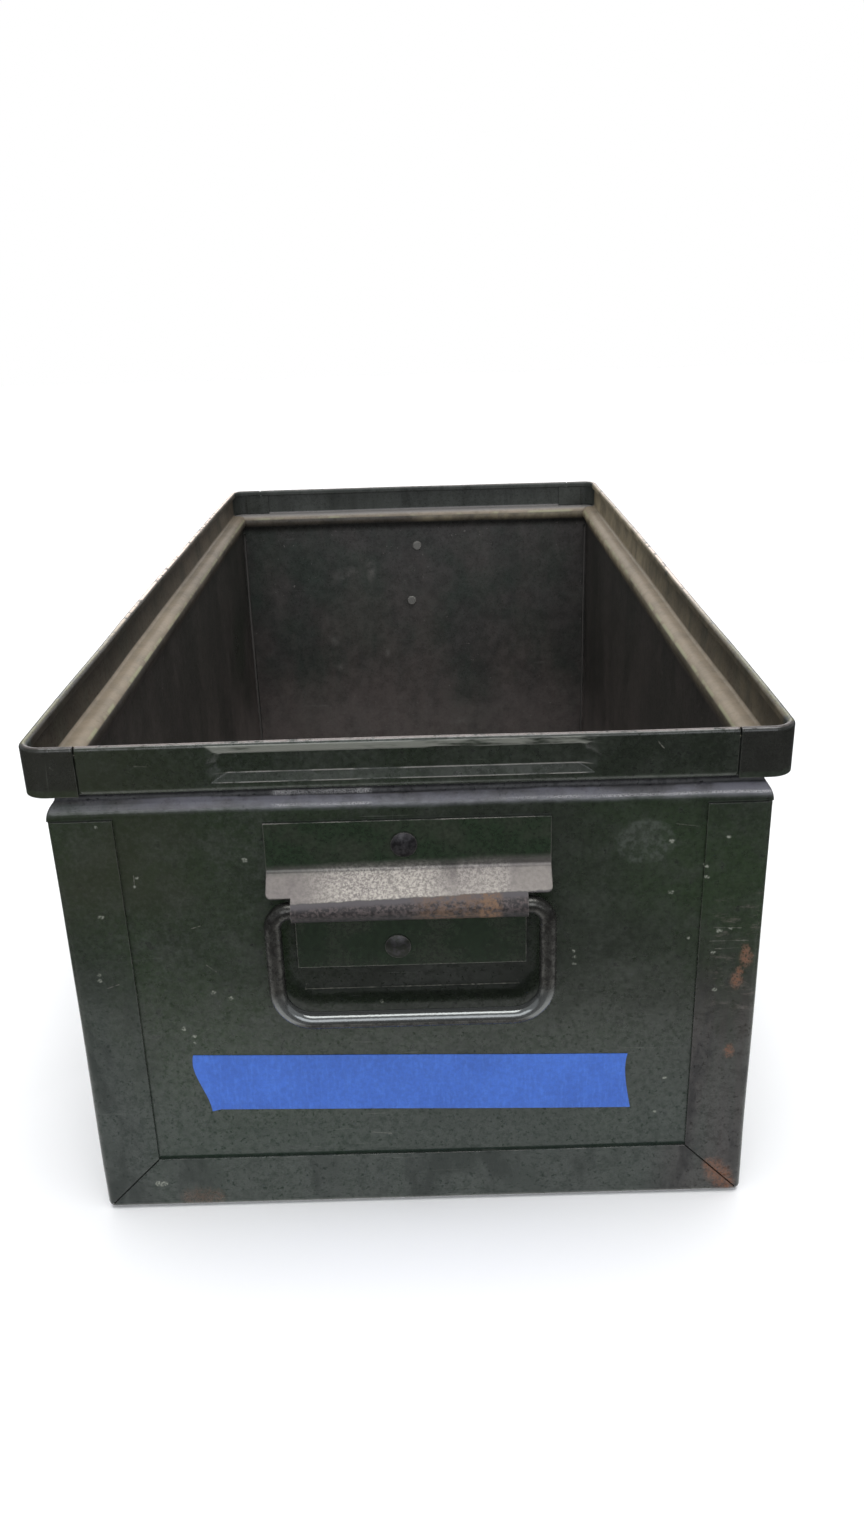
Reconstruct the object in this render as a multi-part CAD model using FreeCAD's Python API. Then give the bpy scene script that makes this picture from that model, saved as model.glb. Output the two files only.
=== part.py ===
import FreeCAD, Part
import math
import os

# Steel stacking tote: an open sheet-metal box with a flared stacking rim and a drop bail handle
# riveted to each end. Millimetres. X is the width, Y the length, Z up. The front end faces -Y.
# The origin is on the floor, under the middle of the box.
#
# Each end is modelled once in its own end frame, where +X points out of the box, +Y runs along
# the end's width to the right of a person who faces it, and +Z is up. turn_to_end() then places
# it at the front or at the rear.

V = FreeCAD.Vector

# Overall size over the rim
RIM_LENGTH = 520.7
RIM_WIDTH = 266.7
HEIGHT = 203.2

# Sheet and the body under the rim
SHEET = 1.2
SIDE_FACE = 128.2           # outside of each long side, from the middle
FLANGE_FACE = 254.4         # outside of the flanges folded over the ends
END_FACE = FLANGE_FACE - SHEET
BODY_BEND = 3.0             # outside radius of the folds of the wrap
FLANGE_WIDTH = 23.3
FLANGE_HEIGHT = 24.0
MITRE_GAP = 0.6
PANEL_MARGIN = 2.0          # end panel's lower sheet stays this far inside the wrap

# Shoulder, neck and stacking ledge
LEDGE_UNDER = 185.0
LEDGE_TOP = LEDGE_UNDER + SHEET
SHOULDER_R = 9.0            # outside radius of the shoulder
NECK_R = 3.6                # outside radius of the hollow above the shoulder
NECK_INSET = 3.3            # how far the neck steps in from the wall

# Rim
RIM_BEND = 2.6              # outside radius where the ledge turns up into the rim
RIM_CORNER = 9.0            # outside radius of the rim's corners in plan
HEM_BEND = 1.5              # outside radius of the folded hem
HEM_LEAF = 1.8              # straight part of the hem's inner leaf
HEM_BOTTOM = HEIGHT - HEM_BEND - HEM_LEAF
SEAM = 113.2                # where each corner tab meets the end band, from the middle
SEAM_GAP = 0.7
BAND_CORNER = 3.0           # radius of the end band's lower corners
LAP_LENGTH = 10.0           # the end band's ear carries on behind the tab by this much
LAP_ROOT = 6.0

# Recess pressed into the front rim
RECESS_SHIFT = -1.8         # its centre, to the left of the middle
RECESS_DEPTH = 2.2
RECESS_HALF = 68.3
RECESS_FLOOR_HALF = 63.0
RECESS_LOW = 188.8
RECESS_FLOOR_LOW = 191.6
RECESS_CHAMFER = 2.8        # how much shorter its top and bottom are than its middle

# Handle bracket
HANDLE_SHIFT = -1.2         # the handle's centre, to the left of the middle
BRACKET_HALF = 51.15        # upper leaf and ramp
SLEEVE_HALF = 42.3          # sleeve and lower leaf
BRACKET_TOP = 170.0
BRACKET_BOTTOM = 110.8
RAMP_ANGLE = 46.0           # the ramp's slope, outwards from straight down
RAMP_BEND = 3.7             # panel-side radius of the bend above the ramp
EAR_LENGTH = 9.4            # of the ramp beyond that bend
EAR_CORNER = 2.0
RETURN_BEND = 2.7           # panel-side radius of the bend above the lower leaf

# Bail handle
ROD_R = 3.175
SLEEVE_CLEARANCE = 0.09
SLEEVE_R = ROD_R + SLEEVE_CLEARANCE
PIVOT_OUT = 7.8             # pivot line, outwards from the end panel
PIVOT_Z = 138.7
BAIL_HALF = 49.6            # rod centre line
BAIL_DROP = 46.6
BAIL_TOP_R = 7.0
BAIL_LOW_R = 13.0

# Rivets
SHANK_R = 2.38
HOLE_R = 2.43
HEAD_R = 4.75
HEAD_EDGE = 0.5
HEAD_RISE = 1.3
TAIL_R = 3.4
TAIL_HEIGHT = 1.3
UPPER_RIVET_Z = 160.5
LOWER_RIVET_Z = 119.0
RIVET_SHIFTS = {
    "front_upper_rivet": -2.6,
    "front_lower_rivet": -6.2,
    "rear_upper_rivet": -1.4,
    "rear_lower_rivet": 3.8,
}

# Masking tape on the front panel
TAPE_THICKNESS = 0.2
TAPE_CENTRE = (-2.1, 57.6)
TAPE_TILT = -1.65
TAPE_LEFT = [(-84.9, 12.6), (-84.9, 5.5), (-83.2, 0.0), (-80.2, -8.0), (-79.0, -13.6)]
TAPE_LOWER_LEFT = (-75.6, -12.6)
TAPE_RIGHT = [(84.9, -12.4), (84.0, -8.0), (83.0, -3.0), (82.1, 3.0), (81.9, 9.0), (82.4, 12.6)]


def beside(x, z, angle, offset):
    """The point `offset` to the left of (x, z) for a path that heads along `angle`."""
    return V(x - offset * math.sin(angle), 0, z + offset * math.cos(angle))


def trace(start, heading, steps, offset):
    """Edges of the line that stays `offset` to the left of a bent path in the XZ plane."""
    x, z = start
    angle = math.radians(heading)
    point = beside(x, z, angle, offset)
    edges = []
    points = [point]
    for kind, size, *turn in steps:
        if kind == "line":
            x += size * math.cos(angle)
            z += size * math.sin(angle)
            end = beside(x, z, angle, offset)
            edges.append(Part.makeLine(point, end))
        else:
            bend = math.radians(turn[0])
            centre = beside(x, z, angle, math.copysign(size, bend))
            radius = -math.copysign(size, bend)
            middle = beside(centre.x, centre.z, angle + bend / 2, radius + offset)
            angle += bend
            rim = beside(centre.x, centre.z, angle, radius)
            x, z = rim.x, rim.z
            end = beside(x, z, angle, offset)
            edges.append(Part.Arc(point, middle, end).toShape())
        point = end
        points.append(point)
    return edges, points[0], points[-1]


def bent_sheet(start, heading, steps):
    """Section of a bent sheet in the XZ plane, with its thickness to the left of the path."""
    near, near_start, near_end = trace(start, heading, steps, 0)
    far, far_start, far_end = trace(start, heading, steps, SHEET)
    ends = [Part.makeLine(near_start, far_start), Part.makeLine(near_end, far_end)]
    return Part.Face(Part.Wire(Part.__sortEdges__(near + far + ends)))


def along_y(face, low, high):
    """A section in the XZ plane, drawn out from y = low to y = high."""
    section = face.copy()
    section.translate(V(0, low, 0))
    return section.extrude(V(0, high - low, 0))


def block(x0, x1, y0, y1, z0, z1):
    """A box between two corners."""
    return Part.makeBox(x1 - x0, y1 - y0, z1 - z0, V(x0, y0, z0))


def both_ways(shape):
    """The shape and its mirror image in the XZ plane."""
    return [shape, shape.mirror(V(0, 0, 0), V(0, 1, 0))]


def joined(shapes):
    """The shapes fused into one, without the seams between flush faces."""
    return shapes[0].multiFuse(shapes[1:]).removeSplitter()


def turned(shape, degrees):
    """The shape turned about the vertical through the origin."""
    copy = shape.copy()
    copy.rotate(V(0, 0, 0), V(0, 0, 1), degrees)
    return copy


def turn_to_end(shape, end):
    """An end-frame shape, placed at the front or at the rear."""
    return turned(shape, -90 if end == "front" else 90)


# ---- Shoulder, ledge and rim -------------------------------------------------------------

NECK_ANGLE = math.degrees(math.acos(1 - NECK_INSET / (SHOULDER_R + NECK_R)))
SHOULDER_Z = LEDGE_UNDER - NECK_R - (SHOULDER_R + NECK_R) * math.sin(math.radians(NECK_ANGLE))
HEM_STEPS = [("arc", HEM_BEND, 180), ("line", HEM_LEAF)]


def upper_section(face, rim, with_rim):
    """Wall section above the shoulder line, out to the ledge's edge or on up to the hem."""
    neck_foot = face - NECK_INSET + NECK_R
    steps = [
        ("arc", SHOULDER_R, NECK_ANGLE),
        ("arc", NECK_R, -NECK_ANGLE - 90),
        ("line", rim - RIM_BEND - neck_foot),
    ]
    if with_rim:
        rise = HEIGHT - HEM_BEND - LEDGE_UNDER - RIM_BEND
        steps += [("arc", RIM_BEND, 90), ("line", rise)] + HEM_STEPS
    return bent_sheet((face, SHOULDER_Z), 90, steps)


def rim_section(rim):
    """Plain rim strip with its hem, cut square at the level of the ledge's underside."""
    rise = HEIGHT - HEM_BEND - LEDGE_UNDER
    return bent_sheet((rim, LEDGE_UNDER), 90, [("line", rise)] + HEM_STEPS)


def mitre_wedge(face, half_length):
    """Everything on this wall's side of the two upright mitre planes at its ends."""
    inner, outer = 40.0, 20.0
    corners = [
        V(face - inner, inner - half_length, 0),
        V(face + outer, -outer - half_length, 0),
        V(face + outer, outer + half_length, 0),
        V(face - inner, half_length - inner, 0),
    ]
    plan = Part.Face(Part.makePolygon(corners + corners[:1]))
    return plan.extrude(V(0, 0, HEIGHT))


def rounded_slab(half_x, half_y, radius, low, high):
    """A slab with its four upright edges rounded."""
    slab = block(-half_x, half_x, -half_y, half_y, low, high)
    upright = [e for e in slab.Edges if abs(e.Vertexes[0].Z - e.Vertexes[1].Z) > 1e-6]
    return slab.makeFillet(radius, upright)


def upper_wall(face, other_face, rim, other_rim, bend_end):
    """Shoulder, ledge and rim of one wall, between its two mitres, without the corner tabs."""
    main = along_y(upper_section(face, rim, True), -bend_end, bend_end)
    tips = both_ways(along_y(upper_section(face, rim, False), bend_end, other_rim))
    plates = both_ways(block(rim - RIM_BEND, rim, bend_end, other_rim, LEDGE_UNDER, LEDGE_TOP))
    inside = rounded_slab(rim - SHEET, other_rim - SHEET, RIM_CORNER - SHEET, 0, HEIGHT)
    corners = [piece.common(inside) for piece in tips + plates]
    wedge = mitre_wedge(face, other_face)
    return joined([piece.common(wedge) for piece in [main] + corners])


# ---- The wrap ----------------------------------------------------------------------------

def body_tray():
    """Bottom, long sides and the four end walls, as one folded tray."""
    outer = block(-SIDE_FACE, SIDE_FACE, -FLANGE_FACE, FLANGE_FACE, 0, SHOULDER_Z)
    outer = outer.makeFillet(BODY_BEND, below(outer.Edges, SHOULDER_Z))
    inner_x = SIDE_FACE - SHEET
    inner_y = FLANGE_FACE - SHEET
    inner = block(-inner_x, inner_x, -inner_y, inner_y, SHEET, HEIGHT)
    inner = inner.makeFillet(BODY_BEND - SHEET, below(inner.Edges, HEIGHT))
    return outer.cut(inner)


def below(edges, top):
    """The edges that don't lie wholly in the plane z = top."""
    return [e for e in edges if min(v.Z for v in e.Vertexes) < top - 1e-6]


def end_window():
    """Opening between the flanges of one end, in the end frame."""
    half = SIDE_FACE - FLANGE_WIDTH
    return block(END_FACE - BODY_BEND, FLANGE_FACE + 1, -half, half, FLANGE_HEIGHT, HEIGHT)


def mitre_slit():
    """Thin cut between a side flange and the bottom flange, in the end frame."""
    overrun = 4.0
    angle = math.degrees(math.atan2(FLANGE_HEIGHT, FLANGE_WIDTH))
    length = math.hypot(FLANGE_WIDTH, FLANGE_HEIGHT) + overrun
    slit = block(
        FLANGE_FACE - BODY_BEND, FLANGE_FACE + 1, -overrun, length, -MITRE_GAP / 2, MITRE_GAP / 2
    )
    slit.rotate(V(0, 0, 0), V(1, 0, 0), angle)
    slit.translate(V(0, -SIDE_FACE, 0))
    trim = block(0, FLANGE_FACE + 1, -RIM_WIDTH, FLANGE_WIDTH - SIDE_FACE, -1, HEIGHT)
    return slit.common(trim)


def rim_corner():
    """The rim's rounded corner at +X +Y and its tab on the rear, square at the bottom."""
    half_x = RIM_WIDTH / 2
    half_y = RIM_LENGTH / 2
    section = rim_section(half_x)
    section.translate(V(0, half_y - RIM_CORNER, 0))
    corner = section.revolve(V(half_x - RIM_CORNER, half_y - RIM_CORNER, 0), V(0, 0, 1), 90)
    strip = along_y(rim_section(half_y), SEAM, half_x - RIM_CORNER)
    tab = turned(strip, 90).mirror(V(0, 0, 0), V(1, 0, 0))
    return corner.fuse(tab)


def body_wrap():
    tray = body_tray()
    cuts = [end_window()] + both_ways(mitre_slit())
    tray = tray.cut([turn_to_end(cut, end) for end in ("front", "rear") for cut in cuts])
    side = upper_wall(SIDE_FACE, END_FACE, RIM_WIDTH / 2, RIM_LENGTH / 2, RIM_LENGTH / 2 - RIM_CORNER)
    corners = both_ways(rim_corner())
    half = [side] + corners
    return joined([tray] + half + [shape.mirror(V(0, 0, 0), V(1, 0, 0)) for shape in half])


# ---- End panels, in the end frame --------------------------------------------------------

def band_ends():
    """What the end band's rounded lower corners leave out at each seam."""
    half = SEAM - SEAM_GAP
    rim = RIM_LENGTH / 2
    keep = block(rim - 2 * RIM_BEND, rim + 1, -half, half, LEDGE_UNDER, HEIGHT)
    low = [
        e for e in keep.Edges
        if abs(e.Vertexes[0].X - e.Vertexes[1].X) > 1e-6 and e.Vertexes[0].Z < HEIGHT - 1e-6
    ]
    keep = keep.makeFillet(BAND_CORNER, low)
    zone = block(rim - RIM_BEND, rim + 1, -SEAM, SEAM, LEDGE_UNDER - 1, HEIGHT + 1)
    return zone.cut(keep)


def recess_outline(x, half, low, high):
    """Long panel with clipped corners, upright at the given distance out."""
    ring = [
        V(x, RECESS_SHIFT - half, (low + high) / 2),
        V(x, RECESS_SHIFT - half + RECESS_CHAMFER, low),
        V(x, RECESS_SHIFT + half - RECESS_CHAMFER, low),
        V(x, RECESS_SHIFT + half, (low + high) / 2),
        V(x, RECESS_SHIFT + half - RECESS_CHAMFER, high),
        V(x, RECESS_SHIFT - half + RECESS_CHAMFER, high),
    ]
    return Part.makePolygon(ring + ring[:1])


def recess_tool(high):
    """The pressed recess as a solid, up to the level `high`."""
    rim = RIM_LENGTH / 2
    mouth = recess_outline(rim, RECESS_HALF, RECESS_LOW, high)
    floor = recess_outline(rim - RECESS_DEPTH, RECESS_FLOOR_HALF, RECESS_FLOOR_LOW, high)
    return Part.makeLoft([mouth, floor], True, True)


def press_recess(panel):
    """Presses the recess into a panel's rim band, keeping the sheet's thickness."""
    back = recess_tool(HEM_BOTTOM + SHEET)
    back.translate(V(-SHEET, 0, 0))
    return panel.fuse(back).cut(recess_tool(HEM_BOTTOM))


def end_panel():
    rim = RIM_LENGTH / 2
    half_plate = SIDE_FACE - SHEET - PANEL_MARGIN
    plate = block(END_FACE - SHEET, END_FACE, -half_plate, half_plate, SHEET + PANEL_MARGIN, SHOULDER_Z)
    wall = upper_wall(END_FACE, SIDE_FACE, rim, RIM_WIDTH / 2, SEAM).cut(band_ends())
    lap = block(
        rim - 2 * SHEET, rim - SHEET, SEAM - LAP_ROOT, SEAM + LAP_LENGTH,
        LEDGE_UNDER + SHEET / 2, HEM_BOTTOM - SHEET / 4
    )
    return joined([plate, wall] + both_ways(lap))


def drilled(shape, end):
    """The shape with a rivet hole for each of the end's two rivets."""
    for name, (shift, z) in rivet_places(end).items():
        hole = Part.makeCylinder(HOLE_R, 4 * SHEET, V(END_FACE - 2 * SHEET, shift, z), V(1, 0, 0))
        shape = shape.cut(hole)
    return shape


# ---- Handle: bracket, bail and rivets, in the end frame -----------------------------------

def bracket():
    """Upper leaf, ramp with ears, sleeve round the bail's rod, and lower leaf."""
    slope = math.radians(RAMP_ANGLE)
    reach = PIVOT_OUT + SLEEVE_R * math.cos(slope) - RAMP_BEND * (1 - math.cos(slope))
    ramp = reach / math.sin(slope)
    crease_z = PIVOT_Z + (RAMP_BEND + SLEEVE_R) * math.sin(slope) + ramp * math.cos(slope)
    start = (END_FACE, BRACKET_TOP)
    leaf_and_bend = [("line", BRACKET_TOP - crease_z), ("arc", RAMP_BEND, RAMP_ANGLE)]
    lower_leaf = PIVOT_Z - SLEEVE_R - RETURN_BEND - BRACKET_BOTTOM
    sleeve = [
        ("line", ramp),
        ("arc", SLEEVE_R, -90 - RAMP_ANGLE),
        ("line", PIVOT_OUT - RETURN_BEND),
        ("arc", RETURN_BEND, 90),
        ("line", lower_leaf),
    ]
    narrow = along_y(bent_sheet(start, -90, leaf_and_bend + sleeve), -SLEEVE_HALF, SLEEVE_HALF)
    eared = bent_sheet(start, -90, leaf_and_bend + [("line", EAR_LENGTH)])
    eared = along_y(eared, -BRACKET_HALF, BRACKET_HALF)
    low = min(v.Z for v in eared.Vertexes) + 2 * SHEET
    tips = [
        e for e in eared.Edges
        if max(v.Z for v in e.Vertexes) < low and abs(e.Length - SHEET) < 1e-6
        and abs(e.Vertexes[0].Y - e.Vertexes[1].Y) < 1e-6
    ]
    eared = eared.makeFillet(EAR_CORNER, tips)
    strap = joined([narrow, eared])
    strap.translate(V(0, HANDLE_SHIFT, 0))
    return strap


def bail():
    """Closed loop of round rod, hanging from the pivot line."""
    x = END_FACE + PIVOT_OUT
    low = PIVOT_Z - BAIL_DROP

    def quarter(y, z, radius, y_sign, z_sign):
        diagonal = radius * math.sqrt(0.5)
        return Part.Arc(
            V(x, y + y_sign * radius, z),
            V(x, y + y_sign * diagonal, z + z_sign * diagonal),
            V(x, y, z + z_sign * radius),
        ).toShape()

    top_y = BAIL_HALF - BAIL_TOP_R
    low_y = BAIL_HALF - BAIL_LOW_R
    path = [
        Part.makeLine(V(x, 0, PIVOT_Z), V(x, top_y, PIVOT_Z)),
        quarter(top_y, PIVOT_Z - BAIL_TOP_R, BAIL_TOP_R, 1, 1),
        Part.makeLine(V(x, BAIL_HALF, PIVOT_Z - BAIL_TOP_R), V(x, BAIL_HALF, low + BAIL_LOW_R)),
        quarter(low_y, low + BAIL_LOW_R, BAIL_LOW_R, 1, -1),
        Part.makeLine(V(x, low_y, low), V(x, 0, low)),
    ]
    section = Part.Wire(Part.makeCircle(ROD_R, V(x, 0, PIVOT_Z), V(0, 1, 0)))
    half = Part.Wire(path).makePipeShell([section], True, False)
    loop = joined(both_ways(half))
    loop.translate(V(0, HANDLE_SHIFT, 0))
    return loop


def rivet_places(end):
    """Each rivet of one end: its shift along the end and its height."""
    heights = {"upper": UPPER_RIVET_Z, "lower": LOWER_RIVET_Z}
    places = {}
    for level, z in heights.items():
        name = end + "_" + level + "_rivet"
        places[name] = (RIVET_SHIFTS[name], z)
    return places


def rivet(shift, z):
    """Low-domed head outside the bracket, shank, and a clenched tail inside the panel."""
    inside = END_FACE - SHEET
    outside = END_FACE + SHEET
    dome_r = (HEAD_R ** 2 + HEAD_RISE ** 2) / (2 * HEAD_RISE)
    half_angle = math.asin(HEAD_R / dome_r) / 2
    dome_x = outside + HEAD_EDGE + HEAD_RISE - dome_r
    crown = V(outside + HEAD_EDGE + HEAD_RISE, 0, 0)
    brow = V(dome_x + dome_r * math.cos(half_angle), 0, dome_r * math.sin(half_angle))
    brim = V(outside + HEAD_EDGE, 0, HEAD_R)
    corners = [
        brim,
        V(outside, 0, HEAD_R),
        V(outside, 0, SHANK_R),
        V(inside, 0, SHANK_R),
        V(inside, 0, TAIL_R),
        V(inside - TAIL_HEIGHT, 0, TAIL_R - TAIL_HEIGHT / 2),
        V(inside - TAIL_HEIGHT, 0, 0),
        crown,
    ]
    edges = [Part.makeLine(a, b) for a, b in zip(corners, corners[1:])]
    edges.append(Part.Arc(crown, brow, brim).toShape())
    half = Part.Face(Part.Wire(edges))
    solid = half.revolve(V(0, 0, 0), V(1, 0, 0), 360)
    solid.translate(V(0, shift, z))
    return solid


# ---- Masking tape, in the end frame -------------------------------------------------------

def torn_edge(points):
    """A smooth torn end through the points."""
    curve = Part.BSplineCurve()
    curve.interpolate([V(END_FACE, y, z) for y, z in points])
    return curve.toShape()


def masking_tape():
    left = torn_edge(TAPE_LEFT)
    right = torn_edge(TAPE_RIGHT)
    corners = [TAPE_LEFT[-1], TAPE_LOWER_LEFT, TAPE_RIGHT[0]]
    lower = [V(END_FACE, y, z) for y, z in corners]
    top = [V(END_FACE, *TAPE_RIGHT[-1]), V(END_FACE, *TAPE_LEFT[0])]
    sides = [Part.makeLine(a, b) for a, b in zip(lower, lower[1:])] + [Part.makeLine(*top)]
    outline = Part.Wire(Part.__sortEdges__([left, right] + sides))
    tape = Part.Face(outline).extrude(V(TAPE_THICKNESS, 0, 0))
    tape.rotate(V(0, 0, 0), V(1, 0, 0), TAPE_TILT)
    tape.translate(V(0, *TAPE_CENTRE))
    return tape


# ---- Assembly -----------------------------------------------------------------------------

def build():
    panel = end_panel()
    strap = bracket()
    loop = bail()
    nodes = {"body_wrap": body_wrap(), "masking_tape": turn_to_end(masking_tape(), "front")}
    for end in ("front", "rear"):
        own_panel = press_recess(panel) if end == "front" else panel
        nodes[end + "_panel"] = turn_to_end(drilled(own_panel, end), end)
        nodes[end + "_handle_bracket"] = turn_to_end(drilled(strap, end), end)
        nodes[end + "_bail_handle"] = turn_to_end(loop, end)
        for name, (shift, z) in rivet_places(end).items():
            nodes[name] = turn_to_end(rivet(shift, z), end)
    return nodes


os.makedirs("parts", exist_ok=True)
for node, shape in build().items():
    solids = shape.Solids
    print(node, "solids", len(solids), "volume", round(shape.Volume, 1), "valid", shape.isValid())
    solids[0].exportStep(os.path.join("parts", node + ".step"))
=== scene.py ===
import math

import bmesh
import bpy
from mathutils import Matrix, Vector, noise


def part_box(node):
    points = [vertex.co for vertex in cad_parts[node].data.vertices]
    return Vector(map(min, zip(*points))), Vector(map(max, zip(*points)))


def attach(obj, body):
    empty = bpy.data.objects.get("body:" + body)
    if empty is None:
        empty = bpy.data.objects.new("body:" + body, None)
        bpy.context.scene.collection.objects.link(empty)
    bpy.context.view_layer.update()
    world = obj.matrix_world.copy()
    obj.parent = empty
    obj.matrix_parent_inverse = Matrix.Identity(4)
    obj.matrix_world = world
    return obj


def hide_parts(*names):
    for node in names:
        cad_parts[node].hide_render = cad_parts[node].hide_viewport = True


# Green enamelled steel stacking tote, on a pale floor under soft light.
# Metres, in the frame of the CAD model: X is the width, Y the length, Z up, and the front faces -Y.

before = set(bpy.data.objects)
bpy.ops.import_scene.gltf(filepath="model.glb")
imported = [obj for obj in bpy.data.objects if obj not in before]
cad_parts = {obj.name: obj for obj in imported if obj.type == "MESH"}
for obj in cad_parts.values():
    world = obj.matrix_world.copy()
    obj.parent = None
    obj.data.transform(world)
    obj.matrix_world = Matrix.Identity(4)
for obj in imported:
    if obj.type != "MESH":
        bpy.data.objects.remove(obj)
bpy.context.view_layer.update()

# ---- Places, read from the frame ---------------------------------------------------------

MM = 0.001
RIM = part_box("body_wrap")[1]                    # outermost corner of the rim
END_FACE = -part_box("masking_tape")[1].y         # outside of the end panels
SIDE_FACE = RIM.x - 5.15 * MM                   # outside of the long walls
SHEET = 1.2 * MM
LEDGE_TOP = RIM.z - 17.0 * MM
SHOULDER = LEDGE_TOP - 13.3 * MM                # where the walls start to curve in
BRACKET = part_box("front_handle_bracket")
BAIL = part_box("front_bail_handle")
HANDLE_X = (BRACKET[0].x + BRACKET[1].x) / 2
ROD_R = (BAIL[1].y - BAIL[0].y) / 2
PIVOT_Z = BAIL[1].z - ROD_R

# ---- Camera, floor and light -------------------------------------------------------------

CAMERA_PLACE = (8.592 * MM, -641.404 * MM, 348.450 * MM)
CAMERA_TURN = (-22.3311, 1.6619, 0.0572)        # degrees of pitch, roll and yaw
LENS = 28.31                                    # millimetres, on a sensor of this height
SENSOR_HEIGHT = 36.0
WIDTH_BY_HEIGHT = 864 / 1536                    # the shape of the picture
STAGE_SIZE = 8.0
FLOOR_Z = -0.2 * MM
SURROUND_Z = -0.1 * MM                          # between the floor and the box


def make_camera():
    """The camera stands in front of the box, a little above it, and looks down into it."""
    pitch, roll, yaw = (math.radians(angle) for angle in CAMERA_TURN)
    turn = (
        Matrix.Rotation(yaw, 3, "Z")
        @ Matrix.Rotation(pitch, 3, "X")
        @ Matrix.Rotation(roll, 3, "Y")
    )
    right, ahead, up = turn.col
    data = bpy.data.cameras.new("camera")
    data.sensor_fit = "VERTICAL"
    data.sensor_height = SENSOR_HEIGHT
    data.sensor_width = SENSOR_HEIGHT * WIDTH_BY_HEIGHT
    data.lens = LENS
    data.clip_start = 10 * MM
    camera = bpy.data.objects.new("camera", data)
    pose = Matrix((right, up, -ahead)).transposed().to_4x4()
    pose.translation = CAMERA_PLACE
    camera.matrix_world = pose
    bpy.context.scene.collection.objects.link(camera)
    bpy.context.scene.camera = camera


def link_mesh(name, bm):
    """A new object with the mesh that bm holds."""
    mesh = bpy.data.meshes.new(name)
    bm.to_mesh(mesh)
    bm.free()
    piece = bpy.data.objects.new(name, mesh)
    bpy.context.scene.collection.objects.link(piece)
    return piece


def make_card(name, height, material):
    """A wide flat sheet of the stage, face up."""
    bm = bmesh.new()
    bmesh.ops.create_grid(bm, x_segments=1, y_segments=1, size=STAGE_SIZE / 2)
    card = link_mesh(name, bm)
    card.location.z = height
    card.data.materials.append(material)
    return card


def make_dark_surround():
    """What the enamel mirrors: the floor as it would be if only the part round the box were lit."""
    p = Paint("surround")
    reach = p.most(
        p.math("SUBTRACT", p.math("ABSOLUTE", p.x), SIDE_FACE),
        p.math("SUBTRACT", p.math("ABSOLUTE", p.y), END_FACE),
    )
    glow = p.times(p.ramp(reach, 90 * MM, 200 * MM, 1.0, 0.15), p.ramp(reach, 200 * MM, 500 * MM, 1.0, 0.3))
    shader = p.add("ShaderNodeEmission")
    p.put(shader.inputs["Strength"], glow)
    output = p.add("ShaderNodeOutputMaterial")
    p.tree.links.new(shader.outputs[0], output.inputs["Surface"])
    card = make_card("surround", SURROUND_Z, p.material)
    for kind in ("camera", "diffuse", "transmission", "volume_scatter", "shadow"):
        setattr(card, "visible_" + kind, False)


def aim(lamp, place, target):
    """Puts a lamp in its place and turns it to its target."""
    lamp.location = place
    lamp.rotation_euler = (Vector(target) - Vector(place)).to_track_quat("-Z", "Y").to_euler()
    bpy.context.scene.collection.objects.link(lamp)


def make_sun(name, place, spread, strength):
    """A very soft light from far away, which lights the whole floor evenly."""
    data = bpy.data.lights.new(name, "SUN")
    data.angle = math.radians(spread)
    data.energy = strength
    aim(bpy.data.objects.new(name, data), place, (0, 0, 0))


def make_softbox(name, size, place, target, radiance, colour):
    """A rectangular lamp with the same radiance all over, which the camera does not see."""
    data = bpy.data.lights.new(name, "AREA")
    data.shape = "RECTANGLE"
    data.size, data.size_y = size
    data.energy = radiance * math.pi * size[0] * size[1]
    data.color = colour
    lamp = bpy.data.objects.new(name, data)
    lamp.visible_camera = False
    aim(lamp, place, target)


def make_world():
    """White behind the box, and a softer grey for what lights it and what its surfaces mirror."""
    world = bpy.data.worlds.new("world")
    world.use_nodes = True
    nodes, links = world.node_tree.nodes, world.node_tree.links
    nodes.clear()
    seen, mirrored = nodes.new("ShaderNodeBackground"), nodes.new("ShaderNodeBackground")
    seen.inputs["Color"].default_value = (1, 1, 1, 1)
    seen.inputs["Strength"].default_value = 1.0
    mirrored.inputs["Color"].default_value = (0.92, 0.95, 1.0, 1)
    mirrored.inputs["Strength"].default_value = 0.45
    which = nodes.new("ShaderNodeLightPath")
    mix = nodes.new("ShaderNodeMixShader")
    out = nodes.new("ShaderNodeOutputWorld")
    links.new(which.outputs["Is Camera Ray"], mix.inputs["Fac"])
    links.new(mirrored.outputs[0], mix.inputs[1])
    links.new(seen.outputs[0], mix.inputs[2])
    links.new(mix.outputs[0], out.inputs["Surface"])
    bpy.context.scene.world = world


# ---- Material tools ----------------------------------------------------------------------

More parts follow.
